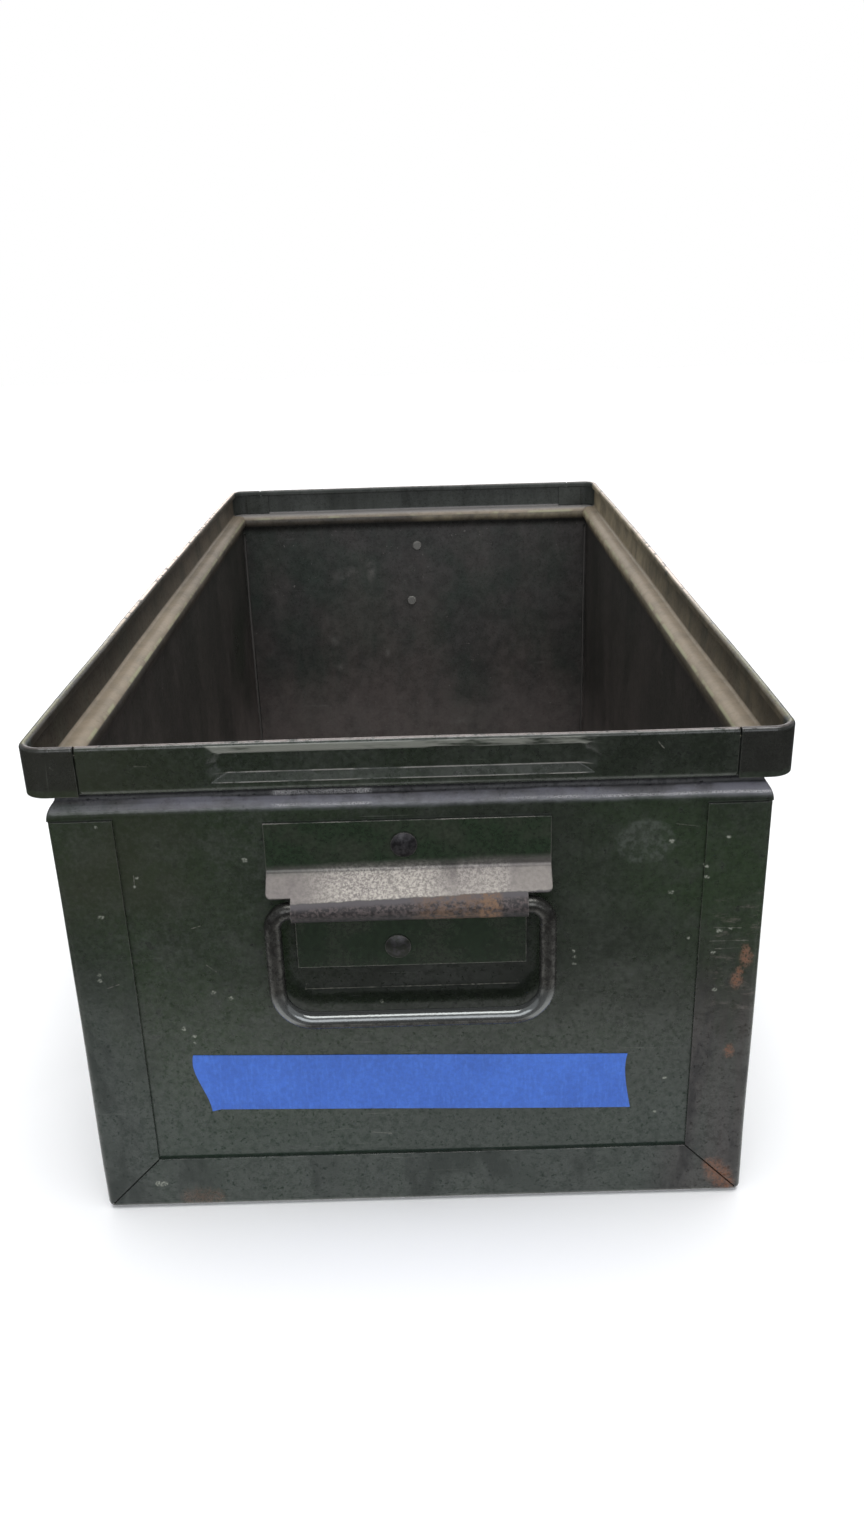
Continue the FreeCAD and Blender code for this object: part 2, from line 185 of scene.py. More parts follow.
class Paint:
    """One procedural material, and short names for the nodes that it is made of."""

    def __init__(self, name):
        self.material = bpy.data.materials.new(name)
        self.material.use_nodes = True
        self.tree = self.material.node_tree
        self.tree.nodes.clear()
        self.place = self.add("ShaderNodeTexCoord").outputs["Object"]
        self.x, self.y, self.z = self.split(self.place)
        self.normal = self.add("ShaderNodeNewGeometry").outputs["Normal"]

    def add(self, kind, **settings):
        node = self.tree.nodes.new(kind)
        for name, value in settings.items():
            setattr(node, name, value)
        return node

    def put(self, socket, value):
        """Links a socket to the input, or sets the input's value."""
        if isinstance(value, bpy.types.NodeSocket):
            self.tree.links.new(value, socket)
        elif hasattr(socket.default_value, "__len__") and len(socket.default_value) == 4:
            socket.default_value = (*value[:3], 1)
        else:
            socket.default_value = value

    def split(self, vector):
        node = self.add("ShaderNodeSeparateXYZ")
        self.put(node.inputs[0], vector)
        return node.outputs

    def math(self, operation, *values):
        node = self.add("ShaderNodeMath", operation=operation)
        for socket, value in zip(node.inputs, values):
            self.put(socket, value)
        return node.outputs[0]

    def times(self, *values):
        result = values[0]
        for value in values[1:]:
            result = self.math("MULTIPLY", result, value)
        return result

    def most(self, *values):
        result = values[0]
        for value in values[1:]:
            result = self.math("MAXIMUM", result, value)
        return result

    def off(self, value):
        """One minus the value."""
        return self.math("SUBTRACT", 1.0, value)

    def ramp(self, value, low, high, bottom=0.0, top=1.0):
        """Rises smoothly from bottom to top as the value goes from low to high."""
        node = self.add("ShaderNodeMapRange", interpolation_type="SMOOTHSTEP")
        for name, number in zip(("Value", "From Min", "From Max", "To Min", "To Max"),
                                (value, low, high, bottom, top)):
            self.put(node.inputs[name], number)
        return node.outputs[0]

    def falls(self, value, low, high):
        """One up to low, then falls smoothly to zero at high."""
        return self.ramp(value, low, high, 1.0, 0.0)

    def band(self, value, low, high, soft):
        """One between low and high, with soft sides."""
        return self.times(self.ramp(value, low - soft, low), self.falls(value, high, high + soft))

    def stretch(self, factors):
        """The place, with each axis multiplied by its factor."""
        node = self.add("ShaderNodeVectorMath", operation="MULTIPLY")
        self.put(node.inputs[0], self.place)
        self.put(node.inputs[1], factors)
        return node.outputs[0]

    def noise(self, scale, detail=3.0, roughness=0.55, factors=None, distortion=0.0):
        node = self.add("ShaderNodeTexNoise")
        self.put(node.inputs["Vector"], self.stretch(factors) if factors else self.place)
        self.put(node.inputs["Scale"], scale)
        self.put(node.inputs["Detail"], detail)
        self.put(node.inputs["Roughness"], roughness)
        self.put(node.inputs["Distortion"], distortion)
        return node.outputs[0]

    def mix(self, factor, a, b):
        node = self.add("ShaderNodeMix", data_type="RGBA")
        self.put(node.inputs["Factor"], factor)
        self.put(node.inputs[6], a)
        self.put(node.inputs[7], b)
        return node.outputs[2]

    def blend(self, factor, a, b):
        """A number between a and b."""
        node = self.add("ShaderNodeMix", data_type="FLOAT")
        self.put(node.inputs["Factor"], factor)
        self.put(node.inputs[2], a)
        self.put(node.inputs[3], b)
        return node.outputs[0]

    def edges(self, radius, low=0.02, high=0.25):
        """One along the edges of the metal, where paint rubs off first."""
        rounded = self.add("ShaderNodeBevel", samples=4)
        self.put(rounded.inputs["Radius"], radius)
        node = self.add("ShaderNodeVectorMath", operation="DOT_PRODUCT")
        self.put(node.inputs[0], rounded.outputs[0])
        self.put(node.inputs[1], self.normal)
        return self.ramp(self.off(node.outputs["Value"]), low, high)

    def scale(self, colour, factor):
        node = self.add("ShaderNodeVectorMath", operation="SCALE")
        self.put(node.inputs[0], colour)
        self.put(node.inputs["Scale"], factor)
        return node.outputs[0]

    def offset(self, point, flat):
        """From the point to here, each axis multiplied by its factor in flat."""
        node = self.add("ShaderNodeVectorMath", operation="SUBTRACT")
        self.put(node.inputs[0], self.place)
        self.put(node.inputs[1], point)
        squash = self.add("ShaderNodeVectorMath", operation="MULTIPLY")
        self.put(squash.inputs[0], node.outputs[0])
        self.put(squash.inputs[1], flat)
        return squash.outputs[0]

    def length(self, vector):
        node = self.add("ShaderNodeVectorMath", operation="LENGTH")
        self.put(node.inputs[0], vector)
        return node.outputs["Value"]

    def from_point(self, point, flat):
        """How far it is to the point, along the axes that flat keeps."""
        return self.length(self.offset(point, flat))

    def spot(self, centre, radius, soft, flat, ragged):
        """One inside a round mark at the centre, measured across the axes that flat keeps."""
        distance = self.math("ADD", self.from_point(centre, flat), ragged)
        return self.falls(distance, radius, radius + soft)

    def scratch(self, start, end, width, ragged):
        """One along a line on the front, whose ends are given across and up in millimetres."""
        first, last = (Vector((x * MM, 0, z * MM)) for x, z in (start, end))
        line = last - first
        here = self.offset(first, (1, 0, 1))
        along = self.add("ShaderNodeVectorMath", operation="DOT_PRODUCT")
        self.put(along.inputs[0], here)
        self.put(along.inputs[1], tuple(line / line.length_squared))
        part = self.math("MINIMUM", self.most(along.outputs["Value"], 0.0), 1.0)
        nearest = self.scale(tuple(line), part)
        apart = self.add("ShaderNodeVectorMath", operation="SUBTRACT")
        self.put(apart.inputs[0], here)
        self.put(apart.inputs[1], nearest)
        distance = self.math("ADD", self.length(apart.outputs[0]), self.times(ragged, 0.4))
        return self.falls(distance, width * 0.5, width)

    def bump(self, height, distance, strength=1.0, normal=None):
        node = self.add("ShaderNodeBump")
        self.put(node.inputs["Height"], height)
        self.put(node.inputs["Distance"], distance)
        self.put(node.inputs["Strength"], strength)
        if normal is not None:
            self.put(node.inputs["Normal"], normal)
        return node.outputs[0]

    def soft_normal(self, radius):
        """Normals that round the sharp edges off by this radius."""
        node = self.add("ShaderNodeBevel", samples=4)
        self.put(node.inputs["Radius"], radius)
        return node.outputs[0]

    def finish(self, colour, roughness, metallic=0.0, normal=None, specular=0.5):
        shader = self.add("ShaderNodeBsdfPrincipled")
        self.put(shader.inputs["Base Color"], colour)
        self.put(shader.inputs["Roughness"], roughness)
        self.put(shader.inputs["Metallic"], metallic)
        self.put(shader.inputs["Specular IOR Level"], specular)
        if normal is not None:
            self.put(shader.inputs["Normal"], normal)
        output = self.add("ShaderNodeOutputMaterial")
        self.tree.links.new(shader.outputs[0], output.inputs["Surface"])
        return self.material


# ---- The box's enamel --------------------------------------------------------------------

GREEN = (0.0165, 0.0270, 0.0125)
DEEP_GREEN = (0.0155, 0.0195, 0.0135)
TEAL = (0.0165, 0.0270, 0.0225)
OLIVE = (0.0260, 0.0290, 0.0160)
GREY_GREEN = (0.032, 0.037, 0.029)
HAZE = (0.048, 0.054, 0.048)
GREEN_STAIN = (0.019, 0.026, 0.022)
BROWN_STAIN = (0.027, 0.020, 0.020)
SOOT = (0.008, 0.008, 0.009)
INSIDE_SIDES = (0.036, 0.032, 0.029)
INSIDE_ENDS = ((0.064, 0.060, 0.058), (0.040, 0.051, 0.043))
DUST = (0.115, 0.094, 0.086)
SILT = (0.185, 0.160, 0.150)
SEAM_DUST_AND_LIGHT = (0.16, 0.15, 0.14)
SMEAR = (0.21, 0.20, 0.185)
CHIPPED = (0.22, 0.23, 0.19)
BARE = (0.34, 0.32, 0.29)
RUST = (0.16, 0.062, 0.026)

# Marks on the front, in millimetres: across from the middle, up from the floor, size.
CHIPS = (
    (92.8, 158.2, 1.7), (93.8, 137.5, 1.3), (-113.6, 134.4, 1.9), (-76.4, 100.3, 1.1),
    (-69.8, 97.8, 1.6), (-89.0, 84.7, 1.3), (-85.4, 81.2, 0.7), (-85.4, 78.2, 0.6),
    (-117.5, 110.2, 0.8), (-117.8, 107.5, 0.9), (59.3, 111.4, 0.8), (59.0, 108.5, 0.7),
    (58.8, 114.0, 0.6), (-59.8, 155.5, 1.7), (-100.3, 146.0, 0.6), (105.7, 148.2, 1.2),
    (101.1, 118.2, 0.7), (-110.7, 170.5, 0.9), (113.0, 160.0, 0.9), (-13.2, 94.6, 1.1),
    (112.0, 121.5, 1.6), (116.0, 122.4, 1.3), (110.2, 112.4, 1.2), (111.8, 96.2, 1.2),
    (106.3, 144.0, 1.1), (95.0, 56.0, 1.2), (92.0, 40.0, 1.0), (-99.4, 149.5, 0.7),
    (-106.6, 12.4, 3.2), (-105.3, 12.0, 3.2), (-104.1, 12.2, 2.8),
)
RUST_SPOTS = (
    (122.8, 109.9, 3.2), (122.4, 113.0, 2.2), (119.7, 100.2, 3.0), (120.6, 104.0, 2.0),
    (119.1, 68.7, 2.6), (114.5, 14.0, 3.0), (117.2, 10.9, 5.0), (120.2, 7.6, 5.0),
    (122.8, 4.4, 3.4), (-95.0, 4.2, 4.0), (-91.0, 4.6, 4.5), (-87.0, 4.2, 4.5), (-83.0, 4.4, 3.5),
)

# Scratches on the front, in millimetres, from one end to the other.
SCRATCHES = (
    ((94.2, 165.0), (102.0, 163.8)), ((-81.8, 128.0), (-78.4, 129.0)),
    ((-77.8, 112.5), (-74.3, 109.3)), ((-115.3, 104.2), (-110.9, 105.7)),
    ((108.7, 117.3), (123.1, 117.3)), ((111.0, 114.0), (120.0, 114.2)),
    ((110.0, 123.0), (120.0, 122.6)), ((-100.2, 150.4), (-100.4, 145.7)),
    ((85.0, 199.4), (87.2, 196.8)), ((-93.0, 195.6), (-88.5, 195.3)), ((-20.0, 34.0), (-12.0, 33.0)),
)
# A painted reflection of the bail's lower bar in the glossy front: a faint line with short ends, in
# millimetres.
BAIL_REFLECTION_LINE = (
    ((-41.6, 100.9), (38.5, 100.9)), ((-41.6, 101.0), (-41.2, 103.2)), ((38.4, 101.0), (37.8, 102.4)),
)

# Smears on the inside of the rear end, in millimetres: across, up, half width, half height.
SMEARS = (
    (-80.6, 36.7, 16.0, 1.5), (34.0, 21.0, 17.0, 5.0), (-63.7, 90.9, 5.0, 8.0), (-60.5, 67.3, 4.0, 5.0),
    (-23.8, 78.0, 3.0, 5.0), (-21.2, 28.8, 5.0, 3.0), (-34.0, 143.0, 6.0, 12.0), (112.2, 41.8, 2.5, 4.5),
    (93.7, 67.4, 6.0, 1.5), (-50.0, 140.0, 16.0, 8.0),
)

SKIN = SHEET / 2                                # half the sheet, to tell its two sides apart
HIGHLIGHT_STRETCH = (-46 * MM, -16 * MM)           # where a painted highlight runs along the shoulder on the left
RECESS_X = -1.8 * MM                            # middle of the recess pressed into the front rim
RECESS_LINES = ((191.5, 191.7), (188.6, 188.7))  # heights in mm of the edges of its low bevel
TAB_EDGE = 113.3 * MM                           # where the tabs that wrap the rim's corners start
GHOST_PLACE = (83.8 * MM, 0, 158.1 * MM)        # the round ghost of something once stuck on


class BoxPaint(Paint):
    """Paint for the box's sheets, which knows what part of the box it is on."""

    def __init__(self, name):
        super().__init__(name)
        self.x_size = self.math("ABSOLUTE", self.x)
        self.y_size = self.math("ABSOLUTE", self.y)
        across, along, self.up = self.split(self.normal)
        outward = self.math(
            "ADD", self.times(across, self.x, 1 / RIM.x), self.times(along, self.y, 1 / RIM.y))
        self.outer = self.ramp(outward, 0.1, 0.4)       # on surfaces that face out of the box
        self.inner = self.falls(outward, -0.5, -0.2)    # on surfaces that face into it
        self.in_walls = self.times(
            self.falls(self.x_size, SIDE_FACE - SKIN - 0.1 * MM, SIDE_FACE - SKIN + 0.1 * MM),
            self.falls(self.y_size, END_FACE - SKIN - 0.1 * MM, END_FACE - SKIN + 0.1 * MM),
            self.falls(self.z, LEDGE_TOP - 0.8 * MM, LEDGE_TOP),
            self.ramp(self.z, 0.4 * MM, 0.9 * MM),
        )
        self.far = self.ramp(self.y, -RIM.y, RIM.y)     # zero at the front, one at the rear
        self.rim_front = self.falls(self.y, -END_FACE - 1.5 * MM, -END_FACE - 1.0 * MM)

        self.cloud = self.noise(9.0, 4.0)
        self.mottle = self.noise(60.0, 5.0, 0.65)
        self.fine = self.noise(900.0, 3.0)
        self.streaks = self.noise(60.0, 4.0, 0.6, factors=(1.0, 1.0, 0.12))


# Each function below paints one thing over the colour so far, and returns the new colour.
# The ones that return something more with it return where that thing is.

def old_green(p):
    """The paint itself: cloudy dark green, hazy in small spots, grainy and pitted."""
    high_up = p.ramp(p.z, SHOULDER, LEDGE_TOP, 0.0, 0.75)
    colour = p.mix(p.most(p.ramp(p.cloud, 0.35, 0.65), high_up), GREEN, DEEP_GREEN)
    colour = p.mix(p.times(p.ramp(p.mottle, 0.44, 0.68), 0.5), colour, GREY_GREEN)
    haze = p.ramp(p.noise(480.0, 4.0, 0.8), 0.42, 0.68)
    colour = p.mix(p.times(haze, p.ramp(p.x, -60 * MM, 60 * MM, 0.28, 0.12)), colour, HAZE)
    colour = p.scale(colour, p.ramp(p.noise(520.0, 3.0, 0.7), 0.3, 0.7, 0.80, 1.2))
    pits = p.times(p.ramp(p.noise(240.0, 3.0, 0.6), 0.62, 0.68), p.ramp(p.mottle, 0.45, 0.6))
    colour = p.scale(colour, p.ramp(pits, 0.0, 1.0, 1.0, 0.6))

    # Cooler low down, and more olive high on the left.
    colour = p.mix(p.times(p.falls(p.z, 30 * MM, 100 * MM), 0.6), colour, TEAL)
    olive_upper_left = p.times(p.falls(p.x, -100 * MM, -55 * MM), p.ramp(p.z, 120 * MM, 150 * MM),
                     p.ramp(p.cloud, 0.3, 0.6))
    return p.mix(p.times(olive_upper_left, 0.6), colour, OLIVE)


def stain_flanges(p, colour):
    """Stains and soot on the edges folded over the ends, brown on the right."""
    flange = p.times(p.ramp(p.y_size, END_FACE + 0.5 * MM, END_FACE + 0.8 * MM),
                     p.falls(p.z, 70 * MM, 130 * MM))
    right = p.ramp(p.x, 85 * MM, 112 * MM)
    stained = p.times(flange, p.ramp(p.streaks, 0.35, 0.6, 0.3, 0.8))
    colour = p.mix(stained, colour, p.mix(right, GREEN_STAIN, BROWN_STAIN))
    soot = p.times(flange, p.ramp(p.noise(60.0, 4.0, 0.65, factors=(1.0, 1.0, 0.45)), 0.46, 0.62))
    return p.mix(p.times(soot, p.ramp(right, 0.0, 1.0, 0.25, 0.8)), colour, SOOT), soot


def dust_inside(p, colour):
    """Brownish dust inside, thicker low down, pale in the corner seams where dust and painted light cover
    their shade, and smears on the far end.
    """
    at_end = p.ramp(p.y_size, END_FACE - 2.5 * MM, END_FACE - 1.5 * MM)
    ends = p.mix(p.ramp(p.noise(22.0, 4.0, 0.6), 0.36, 0.62), *INSIDE_ENDS)
    colour = p.mix(p.times(p.in_walls, 0.8), colour, p.mix(at_end, INSIDE_SIDES, ends))
    stains = p.noise(26.0, 5.0, 0.65, factors=(1.0, 1.0, 0.4))
    dusty = p.times(p.in_walls, p.ramp(p.z, 20 * MM, 150 * MM, 1.0, 0.35), p.ramp(stains, 0.38, 0.66))
    colour = p.mix(p.times(dusty, 0.75), colour, DUST)
    uneven = p.ramp(p.noise(120.0, 5.0, 0.75), 0.35, 0.65, 0.8, 1.2)
    colour = p.scale(colour, p.blend(p.in_walls, 1.0, uneven))
    silt = p.times(p.in_walls, p.falls(p.z, 10 * MM, 70 * MM), p.ramp(p.mottle, 0.30, 0.60, 0.5, 1.0))
    colour = p.mix(p.times(silt, 0.7), colour, SILT)
    # The seams between the ends and the walls are painted pale: partly dust, partly painted light over the
    # shade in the gap.
    seam_dust_and_light = p.times(p.inner, p.falls(p.z, SHOULDER - 4 * MM, SHOULDER),
                   p.band(p.y_size, END_FACE - SKIN, END_FACE + 0.1 * MM, 0.1 * MM))
    colour = p.mix(seam_dust_and_light, colour, SEAM_DUST_AND_LIGHT)

    smears = p.most(*(
        p.falls(p.from_point((x * MM, 0, z * MM), (1 / (wide * MM), 0, 1 / (high * MM))), 0.0, 1.0)
        for x, z, wide, high in SMEARS))
    smears = p.times(smears, p.in_walls, at_end, p.ramp(p.y, 0.0, 100 * MM),
                     p.ramp(p.noise(110.0, 5.0, 0.8), 0.34, 0.72), 0.7)
    specks = p.times(p.in_walls, p.ramp(p.noise(420.0, 2.0), 0.68, 0.74),
                     p.ramp(p.noise(25.0), 0.5, 0.6))
    return p.mix(p.most(smears, p.times(specks, 0.7)), colour, SMEAR)


def scuff_bottom(p, colour):
    """The bottom seen from above: scuffed by what has been slid over it, with rusty patches."""
    bottom = p.times(p.in_walls, p.ramp(p.up, 0.6, 0.9), p.falls(p.z, 3 * MM, 5 * MM))
    slid = p.ramp(p.noise(30.0, 5.0, 0.7, factors=(1.0, 0.12, 1.0), distortion=0.6), 0.42, 0.62)
    colour = p.mix(p.times(bottom, p.ramp(slid, 0.0, 1.0, 0.35, 0.85)), colour, (0.066, 0.062, 0.056))
    rusty = p.times(p.ramp(p.noise(11.0, 5.0, 0.7), 0.52, 0.66),
                    p.ramp(p.noise(190.0, 4.0, 0.75), 0.40, 0.60))
    return p.mix(p.times(bottom, rusty, 0.6), colour, (0.13, 0.066, 0.034))


def rub_and_shade_collar(p, colour):
    """Rim and neck seen from inside: rubbed brownish along the sides, grey green at the ends, with painted
    shade making the neck below the ledge near black at the ends.
    """
    collar = p.times(p.inner, p.ramp(p.z, SHOULDER, SHOULDER + 4 * MM))
    sides = p.mix(p.ramp(p.x, -10 * MM, 10 * MM), (0.080, 0.064, 0.046), (0.235, 0.195, 0.125))
    sides = p.scale(sides, p.times(p.ramp(p.far, 0.15, 0.9, 0.5, 1.4),
                                   p.ramp(p.mottle, 0.3, 0.7, 0.55, 1.35)))
    # Painted shade: at the ends the neck below the ledge top is painted near black, and the rim above it
    # grey green.
    ends = p.mix(p.ramp(p.z, LEDGE_TOP, LEDGE_TOP + 1 * MM), (0.012, 0.013, 0.012), (0.044, 0.048, 0.042))
    ends = p.scale(ends, p.ramp(p.streaks, 0.35, 0.65, 0.7, 1.3))
    rubbed_and_shaded = p.mix(p.ramp(p.y_size, END_FACE - 6 * MM, END_FACE - 3 * MM), sides, ends)
    return p.mix(p.times(collar, p.ramp(p.streaks, 0.20, 0.52), 0.9), colour, rubbed_and_shaded), collar


def rub_ledge(p, colour):
    """The ledge, rubbed to a tan grey by the boxes that have stood on it."""
    ledge = p.times(p.band(p.z, LEDGE_TOP - 2.6 * MM, LEDGE_TOP + 1.6 * MM, 0.8 * MM),
                    p.ramp(p.up, 0.10, 0.45))
    tan = p.mix(p.ramp(p.mottle, 0.35, 0.7), (0.285, 0.230, 0.165), (0.205, 0.168, 0.120))
    inner_edge = p.falls(p.z, LEDGE_TOP - 2.2 * MM, LEDGE_TOP - 1.4 * MM)
    tan = p.mix(p.times(inner_edge, p.ramp(p.noise(70.0, 4.0), 0.46, 0.56), 0.7), tan, (0.36, 0.36, 0.22))
    left, right = p.ramp(p.far, 0.3, 0.7, 1.05, 0.68), p.ramp(p.far, 0.3, 0.7, 1.05, 0.9)
    tan = p.scale(tan, p.ramp(p.x, -10 * MM, 10 * MM, left, right))
    tan = p.mix(p.ramp(p.y_size, END_FACE - 4 * MM, END_FACE - 1 * MM), tan, (0.175, 0.165, 0.158))
    return p.mix(p.times(ledge, 0.92), colour, tan), ledge


def wear_hem(p, colour):
    """The hem, worn through to a pale line that is darker towards the front."""
    hem = p.times(p.ramp(p.z, RIM.z - 0.9 * MM, RIM.z - 0.2 * MM), p.ramp(p.up, 0.66, 0.94))
    pale = p.mix(p.ramp(p.far, 0.06, 0.42), (0.085, 0.080, 0.026), (0.74, 0.59, 0.49))
    left = p.ramp(p.x, -10 * MM, 10 * MM, 1.25, 1.0)
    rear_right = p.ramp(p.times(p.x, p.far), 60 * MM, 110 * MM, 1.0, 0.6)
    pale = p.scale(pale, p.times(left, rear_right))
    pale = p.mix(p.ramp(p.y_size, END_FACE, END_FACE + 4 * MM), pale, (0.22, 0.185, 0.172))
    return p.mix(p.times(hem, p.ramp(p.noise(160.0, 4.0, 0.7), 0.36, 0.5)), colour, pale)


def paint_shoulder_highlight_and_neck_shade(p, colour):
    """Painted shade on the neck, near black under the rim, and under it a painted highlight: a pale
    lavender shoulder with small bright glints.
    """
    height = p.math("ADD", p.z, p.times(p.math("SUBTRACT", p.noise(26.0, 4.0, 0.65), 0.5), 1.6 * MM))
    # Painted highlight: the shoulder is painted pale lavender where the lamps would shine on its curve.
    shoulder_highlight = p.times(
        p.outer,
        p.ramp(height, SHOULDER + 1.0 * MM, SHOULDER + 4.6 * MM),
        p.falls(height, SHOULDER + 5.9 * MM, SHOULDER + 6.7 * MM),
        p.ramp(p.noise(34.0, 6.0, 0.75, factors=(1.0, 1.0, 2.0)), 0.38, 0.60, 0.30, 1.0),
        p.ramp(p.y_size, END_FACE - 12 * MM, END_FACE - 4 * MM, 0.25, 1.0),
        p.ramp(p.x, -118 * MM, -75 * MM, 0.35, 1.0),
    )
    # Painted shade: the neck under the rim's overhang is painted near black.
    neck_shade = p.times(p.outer, p.band(p.z, SHOULDER + 6.4 * MM, LEDGE_TOP - 2.0 * MM, 0.6 * MM))
    colour = p.mix(neck_shade, colour, (0.003, 0.003, 0.004))
    colour = p.mix(shoulder_highlight, colour, (0.140, 0.138, 0.160))

    # Painted highlight: bright glints along a line on the shoulder, and a patch above it on the left.
    glints = p.times(p.ramp(p.noise(2600.0, 2.0, 0.6), 0.36, 0.60),
                     p.ramp(p.noise(60.0, 3.0), 0.35, 0.6, 0.3, 1.0))
    stretch = p.band(p.x, *HIGHLIGHT_STRETCH, 4 * MM)
    line = p.times(p.band(height, SHOULDER + 3.3 * MM, SHOULDER + 3.8 * MM, 0.35 * MM),
                   p.most(p.ramp(p.x, 20 * MM, 50 * MM), stretch))
    highlight_patch = p.times(p.band(p.z, SHOULDER + 6.6 * MM, SHOULDER + 7.8 * MM, 0.4 * MM), stretch)
    return p.mix(p.times(p.outer, glints, p.most(line, highlight_patch), 0.8), colour, (0.40, 0.39, 0.39))


def scuff_recess(p, colour):
    """The recess in the front rim, worn on its top bevel and along both edges of its low one."""
    from_middle = p.math("ABSOLUTE", p.math("SUBTRACT", p.x, RECESS_X))
    recess = p.times(p.rim_front, p.outer, p.falls(from_middle, 61.0 * MM, 66.5 * MM))
    slanted = p.math("ADD", from_middle, p.times(p.math("SUBTRACT", RIM.z, p.z), 1.2))
    scuffs = p.ramp(p.noise(90.0, 4.0, 0.7, factors=(0.35, 1.0, 2.5)), 0.36, 0.56)
    top_bevel = p.times(p.rim_front, p.outer, p.falls(slanted, 67.2 * MM, 68.8 * MM), scuffs,
                        p.band(p.z, RIM.z - 4.4 * MM, RIM.z - 1.2 * MM, 0.3 * MM))
    low_lines = p.times(
        recess, p.ramp(p.noise(70.0, 3.0, 0.6), 0.36, 0.5),
        p.most(*(p.band(p.z, low * MM, high * MM, 0.2 * MM) for low, high in RECESS_LINES)))
    colour = p.mix(p.times(top_bevel, 0.85), colour, (0.255, 0.260, 0.225))
    return p.mix(p.times(low_lines, 0.45), colour, BARE), recess, top_bevel


def darken_rim_front(p, colour):
    """The front of the rim is darker than the panel, browner on its tabs and darkest on the right."""
    band = p.times(p.rim_front, p.ramp(p.z, LEDGE_TOP, LEDGE_TOP + 2.0 * MM))
    tabs = p.times(band, p.ramp(p.x_size, TAB_EDGE, TAB_EDGE + 0.5 * MM))
    colour = p.mix(p.times(tabs, 0.6), colour, (0.019, 0.017, 0.016))
    to_the_right = p.ramp(p.x, 60 * MM, 75 * MM, 0.5, 1.0)
    return p.scale(colour, p.ramp(p.times(band, to_the_right), 0.0, 1.0, 1.0, 0.72))


def scar(p, colour):
    """Small chips and fine scratches, level and upright, on every side."""
    chips = p.ramp(p.noise(260.0, 4.0, 0.7), 0.735, 0.75)
    level = p.ramp(p.noise(38.0, 2.0, 0.5, factors=(1.0, 1.0, 26.0), distortion=0.4), 0.70, 0.75)
    upright = p.ramp(p.noise(38.0, 2.0, 0.5, factors=(26.0, 26.0, 1.0), distortion=0.4), 0.72, 0.77)
    scars = p.times(p.most(p.times(level, 0.6), p.times(upright, 0.4), chips),
                    p.ramp(p.noise(14.0), 0.42, 0.6))
    return p.mix(p.times(scars, 0.5), colour, (0.11, 0.115, 0.10)), scars


def bare_edges(p, colour, recess):
    """Bare metal along the edges that face up or frame the recess, less of it on the front hem."""
    edge = p.times(p.edges(0.6 * MM), p.ramp(p.noise(90.0, 4.0, 0.7), 0.36, 0.62))
    off_front_hem = p.most(p.ramp(p.far, 0.02, 0.4, 0.5, 1.0),
                           p.falls(p.z, RIM.z - 3 * MM, RIM.z - 2 * MM))
    bare = p.times(edge, off_front_hem,
                   p.most(p.ramp(p.up, -0.2, 0.5, 0.08, 0.65), p.times(recess, 0.35)))
    return p.mix(bare, colour, (0.27, 0.25, 0.235)), bare


def mark_front(p, colour):
    """What has happened to the front end over the years, with its rust last, and painted shade behind the
    bail and a painted reflection of its lower bar.
    """
    outside = p.falls(p.y, -END_FACE + 0.2 * MM, -END_FACE + 0.8 * MM)
    ragged = p.times(p.math("SUBTRACT", p.noise(800.0, 3.0), 0.5), 2.2 * MM)

    # Painted shade with some grime behind the bail: the front inside its loop is darkened.
    grime_and_painted_shade = p.times(p.band(p.x, HANDLE_X - 38 * MM, HANDLE_X + 38 * MM, 14 * MM),
                    p.band(p.z, PIVOT_Z - 38 * MM, PIVOT_Z - 6 * MM, 12 * MM), outside)
    colour = p.scale(colour, p.ramp(grime_and_painted_shade, 0.0, 1.0, 1.0, 0.42))

    ghost = p.spot(GHOST_PLACE, 8.0 * MM, 1.8 * MM, (0.85, 0, 1), ragged)
    flecks = p.math("ADD", p.times(p.ramp(p.noise(420.0, 4.0, 0.7), 0.42, 0.66), 0.36), 0.08)
    colour = p.mix(p.times(outside, ghost, flecks), colour, (0.080, 0.088, 0.078))

    rubs = p.times(outside, p.ramp(p.x, 108.5 * MM, 110.5 * MM), p.band(p.z, 92 * MM, 130 * MM, 14 * MM),
                   p.ramp(p.noise(170.0, 5.0, 0.8, factors=(0.6, 1.0, 1.8)), 0.52, 0.70))
    colour = p.mix(p.times(rubs, 0.7), colour, (0.085, 0.074, 0.064))
    # Fine scratches, and the painted reflection of the bail's lower bar, as pale lines.
    scratches_and_reflection = p.most(*(
        p.scratch(start, end, 0.2 * MM, ragged) for start, end in SCRATCHES + BAIL_REFLECTION_LINE))
    faint = p.ramp(p.noise(140.0, 3.0, 0.7), 0.35, 0.65, 0.15, 0.6)
    colour = p.mix(p.times(outside, scratches_and_reflection, faint), colour, (0.15, 0.145, 0.125))

    chips = p.most(*(
        p.spot((x * MM, 0, z * MM), 0.34 * size * MM, 0.7 * MM, (1, 0, 1.2), ragged)
        for x, z, size in CHIPS))
    broken = p.ramp(p.noise(1400.0, 2.0, 0.6), 0.42, 0.56, 0.15, 1.0)
    colour = p.mix(p.times(outside, chips, broken, 0.8), colour, CHIPPED)

    rust = p.most(*(
        p.spot((x * MM, 0, z * MM), 0.3 * size * MM, size * MM, (1.2, 0, 0.8), ragged)
        for x, z, size in RUST_SPOTS))
    rust = p.times(outside, rust, p.ramp(p.noise(900.0, 4.0, 0.8), 0.36, 0.60),
                   p.ramp(p.x, -10 * MM, 10 * MM, 0.3, 0.9))
    return p.mix(rust, colour, RUST), rust


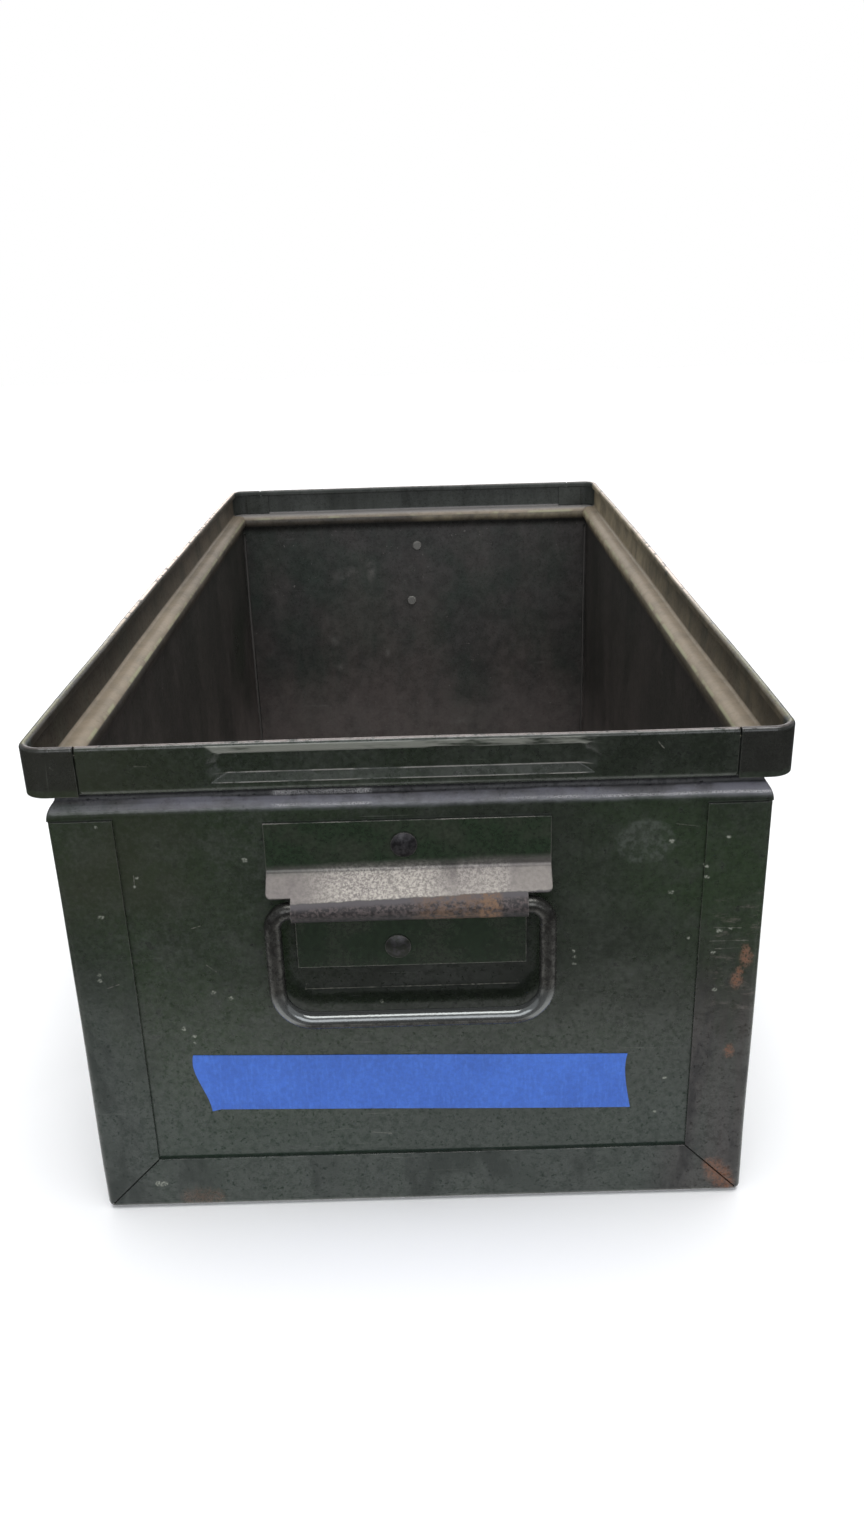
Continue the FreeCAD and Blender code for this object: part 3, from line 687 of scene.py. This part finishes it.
def enamel(name):
    """Glossy dark green enamel: cloudy, chipped at the edges, dusty and stained inside."""
    p = BoxPaint(name)
    colour, soot = stain_flanges(p, old_green(p))
    colour = scuff_bottom(p, dust_inside(p, colour))
    colour, collar = rub_and_shade_collar(p, colour)
    colour, ledge = rub_ledge(p, colour)
    colour = paint_shoulder_highlight_and_neck_shade(p, wear_hem(p, colour))
    colour, recess, top_bevel = scuff_recess(p, colour)
    colour, scars = scar(p, darken_rim_front(p, colour))
    colour, bare = bare_edges(p, colour, recess)
    colour, rust = mark_front(p, colour)

    rough = p.blend(p.ramp(p.mottle, 0.3, 0.7), 0.13, 0.20)
    rough = p.blend(p.in_walls, rough, 0.42)
    rough = p.blend(p.most(ledge, p.times(collar, 0.7)), rough, 0.6)
    rough = p.blend(p.times(p.fine, 0.2), rough, 0.45)
    rough = p.blend(rust, rough, 0.7)
    metal = p.times(p.most(bare, p.times(top_bevel, 0.4)), 0.8)

    # Grime takes the gloss off in fine spots and soft smudges, and where there is soot.
    dull = p.most(
        p.times(p.ramp(p.noise(340.0, 5.0, 0.8), 0.42, 0.66), 0.62),
        p.times(p.ramp(p.noise(760.0, 3.0, 0.6), 0.59, 0.66), 0.9),
        p.times(p.ramp(p.noise(36.0, 5.0, 0.7), 0.46, 0.66), 0.4),
        p.times(soot, 0.55),
    )
    gloss = p.blend(dull, 0.63, 0.09)

    # Shallow dents, orange peel, and a fine grain in which scars stand out and rust is pitted.
    normal = p.bump(p.noise(28.0, 2.0), 1.0 * MM, 0.3, p.soft_normal(0.6 * MM))
    normal = p.bump(p.noise(130.0, 4.0, 0.6), 0.2 * MM, 0.4, normal)
    normal = p.bump(p.math("ADD", p.fine, p.math("SUBTRACT", scars, rust)), 0.03 * MM, 0.5, normal)
    return p.finish(colour, rough, metal, normal, gloss)


# ---- Handles, rivets, tape and floor -----------------------------------------------------

def bracket_paint(name):
    """Enamel on the leaves, rubbed to bare steel on the ramp and rusty brown on the sleeve."""
    p = Paint(name)
    out = p.math("SUBTRACT", p.math("ABSOLUTE", p.y), END_FACE)
    x = p.math("SUBTRACT", p.x, HANDLE_X)
    mottle = p.noise(70.0, 5.0, 0.65)
    grain = p.noise(620.0, 3.0, 0.7)
    ragged = p.times(p.math("SUBTRACT", p.noise(260.0, 4.0, 0.7), 0.5), 1.2 * MM)
    height = p.math("ADD", p.math("SUBTRACT", p.z, p.times(x, 0.022)), ragged)
    ramp_foot = PIVOT_Z + 4.9 * MM
    worn = p.times(
        p.ramp(out, 0.2 * MM, 0.8 * MM),
        p.ramp(height, ramp_foot - 0.6 * MM, ramp_foot),
        p.falls(height, PIVOT_Z + 11.0 * MM, PIVOT_Z + 16.5 * MM),
    )
    below = p.times(p.ramp(out, 3.0 * MM, 4.0 * MM), p.falls(height, ramp_foot - 0.6 * MM, ramp_foot))
    sleeve = p.times(below, p.falls(height, PIVOT_Z + 2.4 * MM, PIVOT_Z + 3.8 * MM))

    # Enamel, lighter above, with painted shade darkening the lower leaf inside the bail's loop.
    colour = p.mix(p.ramp(mottle, 0.4, 0.65), (0.010, 0.018, 0.009), (0.017, 0.022, 0.014))
    colour = p.scale(colour, p.ramp(grain, 0.3, 0.7, 0.75, 1.3))
    lower_leaf = p.falls(p.z, PIVOT_Z - 8 * MM, PIVOT_Z - 5 * MM)
    colour = p.scale(colour, p.ramp(lower_leaf, 0.0, 1.0, 1.15, 0.9))

    # Steel, brighter in fine scuffs on two stretches, with one dark smudge.
    scuffed = p.most(p.band(x, -22 * MM, 2 * MM, 20 * MM),
                     p.times(p.band(x, 19 * MM, 34 * MM, 4 * MM), 0.6))
    scuffs = p.times(scuffed, p.ramp(p.noise(980.0, 4.0, 0.85), 0.45, 0.55), 0.65)
    steel = p.mix(p.ramp(p.noise(45.0, 3.0), 0.4, 0.65), (0.166, 0.152, 0.141), (0.140, 0.126, 0.121))
    steel = p.mix(scuffs, steel, (0.40, 0.375, 0.335))
    smudge = p.times(p.band(x, 12.5 * MM, 16.5 * MM, 1.8 * MM),
                     p.ramp(height, PIVOT_Z + 7 * MM, PIVOT_Z + 13 * MM))
    steel = p.scale(steel, p.ramp(smudge, 0.0, 1.0, 1.0, 0.72))
    steel = p.scale(steel, p.ramp(grain, 0.3, 0.7, 0.88, 1.12))
    colour = p.mix(worn, colour, steel)

    # Grime under the foot of the ramp and on the sleeve, with painted shade on the sleeve's underside, and
    # rust on the right.
    colour = p.mix(below, colour, (0.064, 0.056, 0.060))
    grimy = p.ramp(p.noise(760.0, 4.0, 0.75), 0.42, 0.56)
    grime_and_painted_shade = p.mix(grimy, (0.058, 0.044, 0.042), (0.011, 0.008, 0.008))
    # Painted shade: the sleeve's grime is darker below the pivot and lighter above it.
    grime_and_painted_shade = p.scale(grime_and_painted_shade, p.ramp(p.z, PIVOT_Z - 3 * MM, PIVOT_Z + 3 * MM, 0.4, 1.3))
    colour = p.mix(sleeve, colour, grime_and_painted_shade)
    rusty = p.most(p.times(p.band(x, 26 * MM, 31 * MM, 3 * MM), 0.9),
                   p.times(p.band(x, 8 * MM, 22 * MM, 10 * MM), 0.5))
    rust = p.times(below, rusty, p.ramp(p.noise(420.0, 5.0, 0.8), 0.40, 0.58))
    colour = p.mix(rust, colour, (0.15, 0.080, 0.038))

    edge = p.times(p.edges(0.7 * MM), p.ramp(p.noise(110.0, 4.0, 0.7), 0.34, 0.6))
    top_edge = p.ramp(p.z, BRACKET[1].z - 0.9 * MM, BRACKET[1].z - 0.4 * MM, 0.55, 1.0)
    colour = p.mix(p.times(edge, top_edge), colour, BARE)
    metal = p.most(p.times(worn, 0.8), p.times(edge, 0.5))
    rough = p.blend(worn, p.blend(mottle, 0.12, 0.22), 0.42)
    rough = p.blend(below, rough, 0.55)
    normal = p.bump(mottle, 0.1 * MM, 0.3, p.soft_normal(0.5 * MM))
    normal = p.bump(p.noise(900.0, 3.0), 0.05 * MM, 0.5, normal)
    return p.finish(colour, rough, metal, normal)


def rod_steel(name):
    """Old steel rod, brown-black, polished by fingers on the inner side of its lower bar, with painted
    shade on the bar's underside.
    """
    p = Paint(name)
    mottle = p.noise(380.0, 5.0, 0.75)
    bar = BAIL[0].z + ROD_R
    polished = p.times(p.ramp(p.z, bar - 0.6 * MM, bar + 1.6 * MM),
                       p.falls(p.z, bar + 6 * MM, bar + 15 * MM))
    dark_and_shaded = p.mix(p.ramp(mottle, 0.4, 0.62), (0.064, 0.063, 0.057), (0.024, 0.023, 0.021))
    # Painted shade: the steel is darker on the underside of the lower bar.
    dark_and_shaded = p.scale(dark_and_shaded, p.ramp(p.z, bar - 1.5 * MM, bar, 0.45, 1.0))
    colour = p.mix(p.times(polished, 0.85), dark_and_shaded, (0.20, 0.21, 0.205))
    rough = p.blend(p.ramp(mottle, 0.35, 0.65), 0.20, 0.36)
    rough = p.blend(polished, rough, 0.11)
    normal = p.bump(p.math("ADD", p.noise(1100.0, 3.0), p.times(mottle, 2.0)), 0.05 * MM, 0.5)
    return p.finish(colour, rough, 0.75, normal)


def rivet_steel(name):
    """Dark steel heads outside, the lower ones with paint left on them, and pale tails inside."""
    p = Paint(name)
    mottle = p.noise(420.0, 4.0, 0.7)
    colour = p.mix(p.ramp(mottle, 0.42, 0.6), (0.042, 0.040, 0.042), (0.014, 0.013, 0.014))
    painted = p.times(p.falls(p.z, PIVOT_Z - 2.0 * MM, PIVOT_Z), p.ramp(mottle, 0.35, 0.55))
    colour = p.mix(painted, colour, (0.024, 0.026, 0.020))
    tail = p.falls(p.math("ABSOLUTE", p.y), END_FACE - SHEET - 0.2 * MM, END_FACE - SHEET)
    colour = p.mix(tail, colour, (0.20, 0.195, 0.18))
    colour = p.mix(p.times(p.edges(0.6 * MM), 0.7), colour, BARE)
    rough = p.blend(mottle, 0.30, 0.50)
    normal = p.bump(mottle, 0.12 * MM, 0.7, p.soft_normal(0.3 * MM))
    return p.finish(colour, rough, p.blend(tail, 0.7, 0.1), normal)


def tape_paper(name):
    """Blue crepe paper, with fine ridges across the strip."""
    p = Paint(name)
    ridges = p.noise(420.0, 2.0, 0.5, factors=(2.6, 1.0, 0.5))
    colour = p.mix(p.ramp(p.noise(30.0, 3.0), 0.35, 0.65), (0.021, 0.095, 0.42), (0.027, 0.113, 0.48))
    colour = p.mix(p.times(p.ramp(ridges, 0.45, 0.7), 0.4), colour, (0.041, 0.147, 0.545))
    colour = p.scale(colour, p.ramp(p.noise(700.0, 3.0, 0.7), 0.3, 0.7, 0.88, 1.1))
    return p.finish(colour, 0.62, 0.0, p.bump(ridges, 0.12 * MM, 0.8))


def floor_paint(name):
    """Matt, almost white, and faintly cloudy."""
    p = Paint(name)
    colour = p.mix(p.noise(3.0), (0.86, 0.86, 0.86), (0.88, 0.88, 0.88))
    return p.finish(colour, 0.9)


# ---- Worn metal shapes -------------------------------------------------------------------

WARP_SEED = 11
noise.seed_set(WARP_SEED)                       # Blender would seed this noise from the clock


def fade(value, low, high):
    """Smooth step from 0 at low to 1 at high."""
    t = min(max((value - low) / (high - low), 0.0), 1.0)
    return t * t * (3 - 2 * t)


def warped(point):
    """Where a point of the box has moved to after years of knocks, by at most 1.3 mm."""
    x, y, z = point
    off_floor = fade(z, 0.0, 30 * MM)
    from_handle = fade(math.hypot(x - HANDLE_X, (z - PIVOT_Z) * 1.3), 62 * MM, 100 * MM)
    at_end = fade(abs(y), END_FACE - 30 * MM, END_FACE - 4 * MM)
    calm = off_floor * (1 - at_end * (1 - from_handle))
    # The vectors added to the place only choose a part of the noise.
    drift = noise.noise_vector(Vector((x, y, z)) * 7.0 + Vector((3.1, 0.4, 1.7)))
    ripple = noise.noise_vector(Vector((x, y, z)) * 22.0 + Vector((0.3, 5.2, 2.9)))
    moved = Vector(point) + (drift * 0.7 + ripple * 0.15) * MM * calm
    rim = fade(z, LEDGE_TOP - 2 * MM, RIM.z)
    bow = 1.2 * MM * rim * (1 - (y / RIM.y) ** 2) * fade(abs(x), SIDE_FACE - 8 * MM, SIDE_FACE)
    moved.x += math.copysign(bow, x)
    return moved


def worn_copy(node, body, material, cell):
    """A finer copy of a CAD node's mesh, warped like the rest of the box, that stands for the node."""
    bm = bmesh.new()
    bm.from_mesh(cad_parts[node].data)
    bmesh.ops.remove_doubles(bm, verts=bm.verts, dist=0.001 * MM)
    bmesh.ops.dissolve_limit(bm, angle_limit=math.radians(0.2), verts=bm.verts, edges=bm.edges)
    low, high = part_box(node)
    for axis in range(3):
        direction = Vector((axis == 0, axis == 1, axis == 2))
        count = int((high[axis] - low[axis]) / cell)
        for i in range(1, count + 1):
            spot = direction * (low[axis] + (high[axis] - low[axis]) * i / (count + 1))
            everything = bm.verts[:] + bm.edges[:] + bm.faces[:]
            bmesh.ops.bisect_plane(
                bm, geom=everything, plane_co=spot, plane_no=direction, dist=0.002 * MM)
    bmesh.ops.triangulate(bm, faces=[f for f in bm.faces if len(f.verts) > 4])
    for vertex in bm.verts:
        vertex.co = warped(vertex.co)
    piece = link_mesh(node + "_worn", bm)
    cad_normals = piece.data.attributes.get("custom_normal")
    if cad_normals:
        piece.data.attributes.remove(cad_normals)
    piece.data.materials.clear()
    piece.data.materials.append(material)
    for face in piece.data.polygons:
        face.use_smooth = True
    piece.data.set_sharp_from_angle(angle=math.radians(30))
    weighted = piece.modifiers.new("weighted", "WEIGHTED_NORMAL")
    weighted.keep_sharp = True
    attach(piece, body)
    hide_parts(node)


def repaint(node, material):
    """A CAD node that stays as it is, with a better material."""
    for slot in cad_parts[node].material_slots:
        slot.material = material


# ---- The scene ---------------------------------------------------------------------------

make_camera()
make_world()
make_card("floor", FLOOR_Z, floor_paint("floor_paint"))
make_dark_surround()
make_sun("overhead", place=(0.1, -0.05, 2.0), spread=52, strength=2.7)
make_softbox("front_softbox", size=(3.0, 1.2), place=(0.0, -2.6, 1.1), target=(0, -0.25, 0.15),
             radiance=2.2, colour=(0.93, 0.95, 1.0))
make_softbox("back_softbox", size=(3.0, 1.2), place=(0.0, 2.8, 1.3), target=(0, 0.25, 0.2),
             radiance=1.6, colour=(1.0, 0.98, 0.96))
bpy.context.scene.view_settings.view_transform = "Standard"

green = enamel("enamel")
worn_copy("body_wrap", "box", green, cell=9 * MM)
worn_copy("front_panel", "box", green, cell=6 * MM)
worn_copy("rear_panel", "box", green, cell=6 * MM)
worn_copy("masking_tape", "box", tape_paper("tape_paper"), cell=3 * MM)
bracket_enamel = bracket_paint("bracket_enamel")
rod = rod_steel("rod_steel")
rivets = rivet_steel("rivet_steel")
for end in ("front", "rear"):
    repaint(end + "_handle_bracket", bracket_enamel)
    repaint(end + "_bail_handle", rod)
    repaint(end + "_upper_rivet", rivets)
    repaint(end + "_lower_rivet", rivets)
